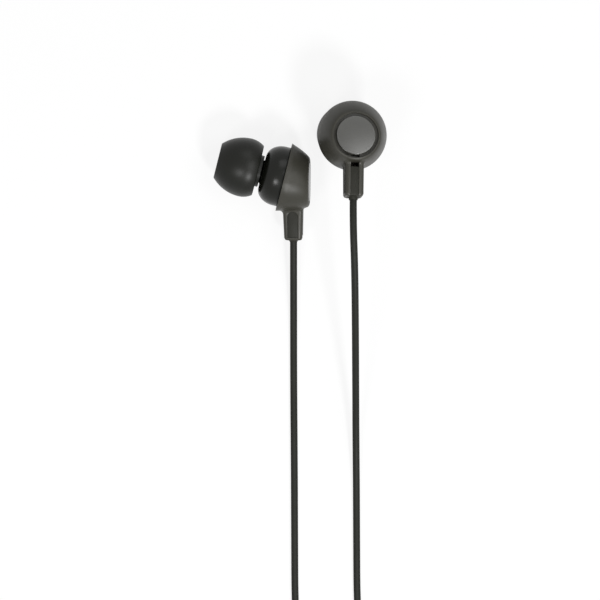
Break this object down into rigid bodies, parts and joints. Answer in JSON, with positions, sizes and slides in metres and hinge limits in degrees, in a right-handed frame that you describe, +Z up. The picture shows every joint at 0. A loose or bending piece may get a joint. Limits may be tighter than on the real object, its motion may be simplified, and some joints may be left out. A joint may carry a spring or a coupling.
{
  "type": "wired earphones",
  "caption": "Pair of wired in-ear earphones with round shells, stems and silicone tips, a thin cord to each, a splitter, and a coiled lead with a small stereo plug.",
  "frame": {"origin": "on the table, under the middle of the two earphones", "axes": "+Z up from the table, +Y away from the cords, +X from the left earphone to the right one"},
  "size_m": [0.0486, 0.1813, 0.0212],
  "materials": {
    "silicone": "matte silicone",
    "steel_mesh": "woven",
    "foam": "open foam",
    "housing": "polished black",
    "basket": "moulded",
    "film": "thin film",
    "copper": "enamelled copper",
    "steel": "plated",
    "magnet": "nickel plated",
    "felt": "thin paper felt",
    "board": "solder-masked board",
    "shell": "brown-grey soft touch",
    "cap": "polished grey",
    "boot": "matte rubber",
    "crimp": "tinned",
    "cord": "satin black jacket",
    "tie": "matte",
    "splitter": "moulded black",
    "grip": "moulded black",
    "contacts": "nickel plated",
    "insulator": "black"
  },
  "bodies": {
    "earphones": {"left_nozzle_mesh": "steel_mesh", "left_nozzle_damper": "foam", "left_front_housing": "housing", "left_driver_gasket": "foam", "left_driver_frame": "basket", "left_diaphragm": "film", "left_voice_coil": "copper", "left_pole_plate": "steel", "left_magnet": "magnet", "left_yoke": "steel", "left_vent_felt": "felt", "left_terminal_board": "board", "left_lead_wires": "copper", "left_rear_shell": "shell", "left_back_cap": "cap", "left_stem_boot": "boot", "left_cord_crimp": "crimp", "right_nozzle_mesh": "steel_mesh", "right_nozzle_damper": "foam", "right_front_housing": "housing", "right_driver_gasket": "foam", "right_driver_frame": "basket", "right_diaphragm": "film", "right_voice_coil": "copper", "right_pole_plate": "steel", "right_magnet": "magnet", "right_yoke": "steel", "right_vent_felt": "felt", "right_terminal_board": "board", "right_lead_wires": "copper", "right_rear_shell": "shell", "right_back_cap": "cap", "right_stem_boot": "boot", "right_cord_crimp": "crimp", "left_cord": "cord", "right_cord": "cord", "left_leg_coil": "cord", "right_leg_coil": "cord", "left_leg_tie": "tie", "right_leg_tie": "tie", "y_splitter": "splitter", "main_coil": "cord", "coil_tie": "tie", "plug_boot": "boot", "plug_grip": "grip", "plug_sleeve": "contacts", "plug_ring": "contacts", "plug_tip": "contacts", "plug_insulators": "insulator", "plug_core": "insulator"},
    "left_tip": {"left_ear_tip": "silicone"},
    "right_tip": {"right_ear_tip": "silicone"}
  },
  "joints": [
    {"name": "left_tip_pull", "type": "slide", "parent": "earphones", "child": "left_tip", "axis": [-0.9625, 0.2438, -0.1187], "range_m": [0, 0.008]},
    {"name": "right_tip_pull", "type": "slide", "parent": "earphones", "child": "right_tip", "axis": [0, 0, -1], "range_m": [0, 0.008]}
  ]
}
